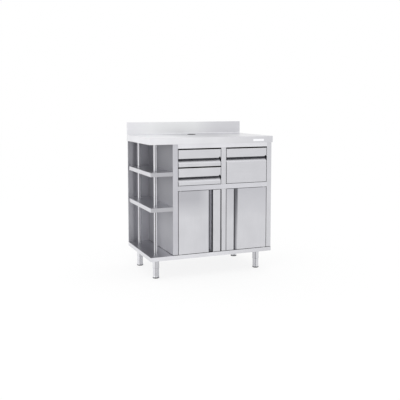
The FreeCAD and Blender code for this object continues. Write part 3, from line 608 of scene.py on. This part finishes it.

# Painted light and shade: the face is painted brighter at its left end and darker in its middle, as painted
# reflections. The upstand is painted brighter at its left end and darker at its right, and the front skirt darker
# towards the right, as painted light from the left.
counter_face = [(Z, counter_level - 1, counter_level - 0.2), (Z, counter_level + 3, counter_level + 1.5)]
counter_fades = [
    ("#EEEEF1", [*counter_face, (X, -150, -300)]),
    ("#C8C8CC", [*counter_face, (X, -260, -60), (X, 300, 120)]),
    ("#EAEBEC", [upstand, (X, -480, -300), (X, 260, 80)]),
    ("#D0D0D4", [upstand, (X, 90, 450)]),
    ("#D1D1D5", [(Y, counter_front + 4, counter_front + 0.5), (X, 0, 450)]),
]
counter_steel, tree = new_material("brushed_counter_steel")
steel = brushed_shader(tree, "#DBDBDE", "#E4E4E7", X, fades=counter_fades)

# Film looks white and matt, with a slight speckle, 1.1 mm across.
place = add(tree, "ShaderNodeTexCoord").outputs["Object"]
speckle = add(tree, "ShaderNodeTexNoise", {"Scale": per_metre(1.1), "Detail": 1.0}, {"Vector": place})
whites = [(0.35, "#F3F3F7"), (0.65, "#FAFAFD")]
white = add(tree, "ShaderNodeValToRGB", links={0: speckle.outputs[0]}, stops=whites)
film = add(tree, "ShaderNodeBsdfPrincipled", {"Roughness": 0.4}, {"Base Color": white.outputs[0]})
film_edges = [
    (X, FILM_X[0] - 3, FILM_X[0] + 3),
    (X, FILM_X[1] + 0.5, FILM_X[1] - 0.5),
    (Y, counter_front + 2, counter_front + 1),
    (Z, FILM_Z[0] - 0.4, FILM_Z[0] + 0.4),
    (Z, FILM_Z[1] + 0.4, FILM_Z[1] - 0.4),
]
both = {0: window(tree, place, *film_edges), 1: steel.outputs[0], 2: film.outputs[0]}
mix = add(tree, "ShaderNodeMixShader", links=both)
add(tree, "ShaderNodeOutputMaterial", links={"Surface": mix.outputs[0]})
dress(counter_steel, "worktop")
dress(under_steel, "worktop_stiffeners")


# Cable grommet: a moulded ring of black plastic that lies in the worktop's pressed seat. Its rim is rounded, so
# that leads don't chafe, and two ribs round its barrel grip the hole.

BORE = 25
BARREL_STEP = 3.3
LIP = 2
CROWN = 3
RIB = 0.5

low, high = extent("cable_grommet")
flange = (high[X] - low[X]) / 2
barrel = flange - BARREL_STEP
neck = barrel - RIB
seat, crown = high[Z] - LIP, high[Z] + CROWN
side = [(BORE, low[Z]), (neck, low[Z])]
for level in (low[Z] + 5, low[Z] + 11):
    side += [(neck, level), (barrel, level + 1), (neck, level + 2)]
side += [(neck, seat), (flange, seat), (flange, crown - 1.6), (flange - 1.4, crown)]
ring = rounded([*side, (BORE + 1.4, crown), (BORE, crown - 1.4)], 0.5, closed=True)

# Moulded black plastic looks dull and even.
black_plastic = moulded("black_grommet_plastic", "#0E0E10", "#18181A", 0.6, grit=0.5)
grid = turned(ring, (*middle("cable_grommet")[:2], 0), 72)
make_piece("grommet_ring", [grid], black_plastic, "cabinet", ["cable_grommet"])


# Drawers: folded fronts with a finger channel, boxes of 1 mm sheet with hemmed rims, and telescopic runners of
# zinc-plated strip. The fronts are brushed along; the channel's inside and the edges are painted a dull grey, as
# painted shade in the recess and the gaps.

DRAWERS = ("upper_left", "lower_left", "right")


def mill_steel(name, dark, light, roughness=0.4):
    """Cold-rolled sheet as it comes from the mill: an even grey with slight clouds, 62.5 mm across, fine pits,
    1.1 mm across, and no lines."""
    material, tree = new_material(name)
    place = add(tree, "ShaderNodeTexCoord").outputs["Object"]
    clouds = add(tree, "ShaderNodeTexNoise", {"Scale": per_metre(62.5), "Detail": 4.0}, {"Vector": place})
    pits = add(tree, "ShaderNodeTexNoise", {"Scale": per_metre(1.1), "Detail": 1.0}, {"Vector": place})
    colour = add(tree, "ShaderNodeValToRGB", links={0: clouds.outputs[0]}, stops=[(0.35, dark), (0.65, light)])
    span = {**NOISE_RANGE, "To Min": roughness - 0.06, "To Max": roughness + 0.06}
    rough = add(tree, "ShaderNodeMapRange", span, {"Value": clouds.outputs[0]})
    bump = add(tree, "ShaderNodeBump", {"Strength": 0.4, "Distance": 0.03 * MM}, {"Height": pits.outputs[0]})
    feeds = {"Base Color": colour.outputs[0], "Roughness": rough.outputs[0], "Normal": bump.outputs[0]}
    shader = add(tree, "ShaderNodeBsdfPrincipled", {"Metallic": 1.0}, feeds)
    add(tree, "ShaderNodeOutputMaterial", links={"Surface": shader.outputs[0]})
    return material


# Painted shade: the fronts turn dull grey from 6 mm behind the front plane.
drawer_fades = [(PAINTED_GAP_SHADE, [(Y, FRONT + 6, FRONT + 15)])]
drawer_steel = brushed_steel("brushed_drawer_steel", "#C9C9CD", "#D2D2D6", X, fades=drawer_fades)
box_steel = mill_steel("mill_finished_box_steel", "#B2B2B7", "#C3C3C8")

# Zinc plating gives the runners a bluish, slightly glossier grey.
zinc = mill_steel("zinc_plated_strip", "#A5AAB0", "#BBBFC5", 0.34)
for name in DRAWERS:
    dress(drawer_steel, f"drawer_front_{name}")
    dress(box_steel, f"drawer_box_{name}", f"drawer_liner_{name}")
    dress(zinc, *(f"runner_{section}_{name}" for section in ("outer", "middle", "inner")))


# Doors: the same folded fronts set upright, brushed upwards, with a flat inner sheet. Steel pins at their outer
# corners turn in white nylon bushes, and magnetic catches in black housings hold them shut.

# Painted light and shade on the doors: the left door's face is painted darker towards its hinge at the top, its
# channel's slope darker, its channel's floor lighter, and its free edge dark, as painted shade in the gap. The right
# door's face is painted darker towards the top, and its channel dark all through, as painted shade in the recess.
left_door_end = extent("door_left_skin")[HIGH][X]
DOOR_PAINTED_SHADING = {
    "left": [
        ("#B6B6BB", [(Z, 450, 590), (X, 0, -120)]),
        ("#8A8A8F", [(Y, FRONT + 0.5, FRONT + 2), (X, -45, -35), (X, 45, 35)]),
        ("#DADADE", [(Y, FRONT + 7, FRONT + 14), (Y, FRONT + 26, FRONT + 22)]),
        ("#4A4A4F", [(X, left_door_end - 3.2, left_door_end - 1.8), (Y, FRONT + 3, FRONT + 2)]),
    ],
    "right": [
        ("#C2C2C7", [(Z, 420, 640)]),
        ("#66666B", [(Y, FRONT + 0.2, FRONT + 5), (Z, 250, 620)]),
        ("#6E6E73", [(Y, FRONT + 3, FRONT + 15)]),
    ],
}
for side, fades in DOOR_PAINTED_SHADING.items():
    door_steel = brushed_steel(f"brushed_door_steel_{side}", "#CACACE", "#D3D3D7", Z, fades=fades)
    dress(door_steel, f"door_{side}_skin")
    dress(box_steel, f"door_{side}_liner")
    dress(screw_steel, f"door_{side}_pivots")

# Nylon looks white and waxy, and the catches' housings dull black.
dress(moulded("white_nylon", "#D9D9D0", "#E6E6DE", 0.45, grit=0.4), "door_bushes")
dress(moulded("black_catch_plastic", "#1B1B1D", "#29292B", 0.5), "door_catches")


# Studio: a white floor that keeps the station's shadow, plain white surroundings, and four soft lamps that only
# lift the faces towards them. The camera stands a little to the left and above the worktop. It looks 5 degrees
# down, so that its shift stays small.

# Reach and standpoint are in metres, angles in degrees and the lens in millimetres.
FLOOR_REACH = 20
GLOW = 0.8
STANDPOINT = (-1.8545052, -4.5352052, 1.2870325)
TILT, TURN = 85.0, -22.1154
LENS = 55.9097
SHIFT = (0.00732, -0.10126)

mesh = bpy.data.meshes.new("studio_floor")
corners = [(x * FLOOR_REACH, y * FLOOR_REACH, 0) for x, y in ((-1, -1), (1, -1), (1, 1), (-1, 1))]
mesh.from_pydata(corners, [], [(0, 1, 2, 3)])
floor = bpy.data.objects.new("studio_floor", mesh)
bpy.context.collection.objects.link(floor)

# White paint takes the shadow, and the glow in it keeps the rest of the floor as white as its surroundings.
studio_white, tree = new_material("studio_white")
paint = add(tree, "ShaderNodeBsdfDiffuse", {"Color": linear("#FFFFFF")})
glow = add(tree, "ShaderNodeEmission", {"Color": linear("#FFFFFF"), "Strength": 1.0})
mix = add(tree, "ShaderNodeMixShader", {0: GLOW}, {1: paint.outputs[0], 2: glow.outputs[0]})
add(tree, "ShaderNodeOutputMaterial", links={"Surface": mix.outputs[0]})
mesh.materials.append(studio_white)

scene = bpy.context.scene
world = bpy.data.worlds.new("studio_air")
scene.world = world
world.use_nodes = True
world.node_tree.nodes.clear()
air = add(world.node_tree, "ShaderNodeBackground", {"Color": linear("#FFFFFF"), "Strength": 1.0})
add(world.node_tree, "ShaderNodeOutputWorld", links={"Surface": air.outputs[0]})

# Each lamp has a place and a size in metres and a power in watts.
AIM = Vector((0, 0, 0.9))
LAMPS = (
    ("left_lamp", (-3.2, -1.0, 1.25), (2.6, 2.4), 10),
    ("front_lamp", (-0.2, -3.9, 1.25), (0.5, 2.4), 5),
    ("rear_lamp", (-2.6, 2.5, 1.5), (1.5, 1.5), 5),
    ("top_lamp", (1.3, -1.5, 3.9), (1.5, 1.5), 3),
)
for name, place, size, power in LAMPS:
    lamp = bpy.data.lights.new(name, "AREA")
    lamp.shape = "RECTANGLE"
    lamp.size, lamp.size_y = size
    lamp.energy = power
    holder = bpy.data.objects.new(name, lamp)
    bpy.context.collection.objects.link(holder)
    holder.location = place
    holder.rotation_euler = (AIM - Vector(place)).to_track_quat("-Z", "Y").to_euler()

view = bpy.data.cameras.new("view")
view.sensor_width = 36
view.lens = LENS
view.shift_x, view.shift_y = SHIFT
viewer = bpy.data.objects.new("view", view)
bpy.context.collection.objects.link(viewer)
viewer.location = STANDPOINT
viewer.rotation_euler = np.radians((TILT, 0, TURN))
scene.camera = viewer
scene.view_settings.view_transform = "Standard"
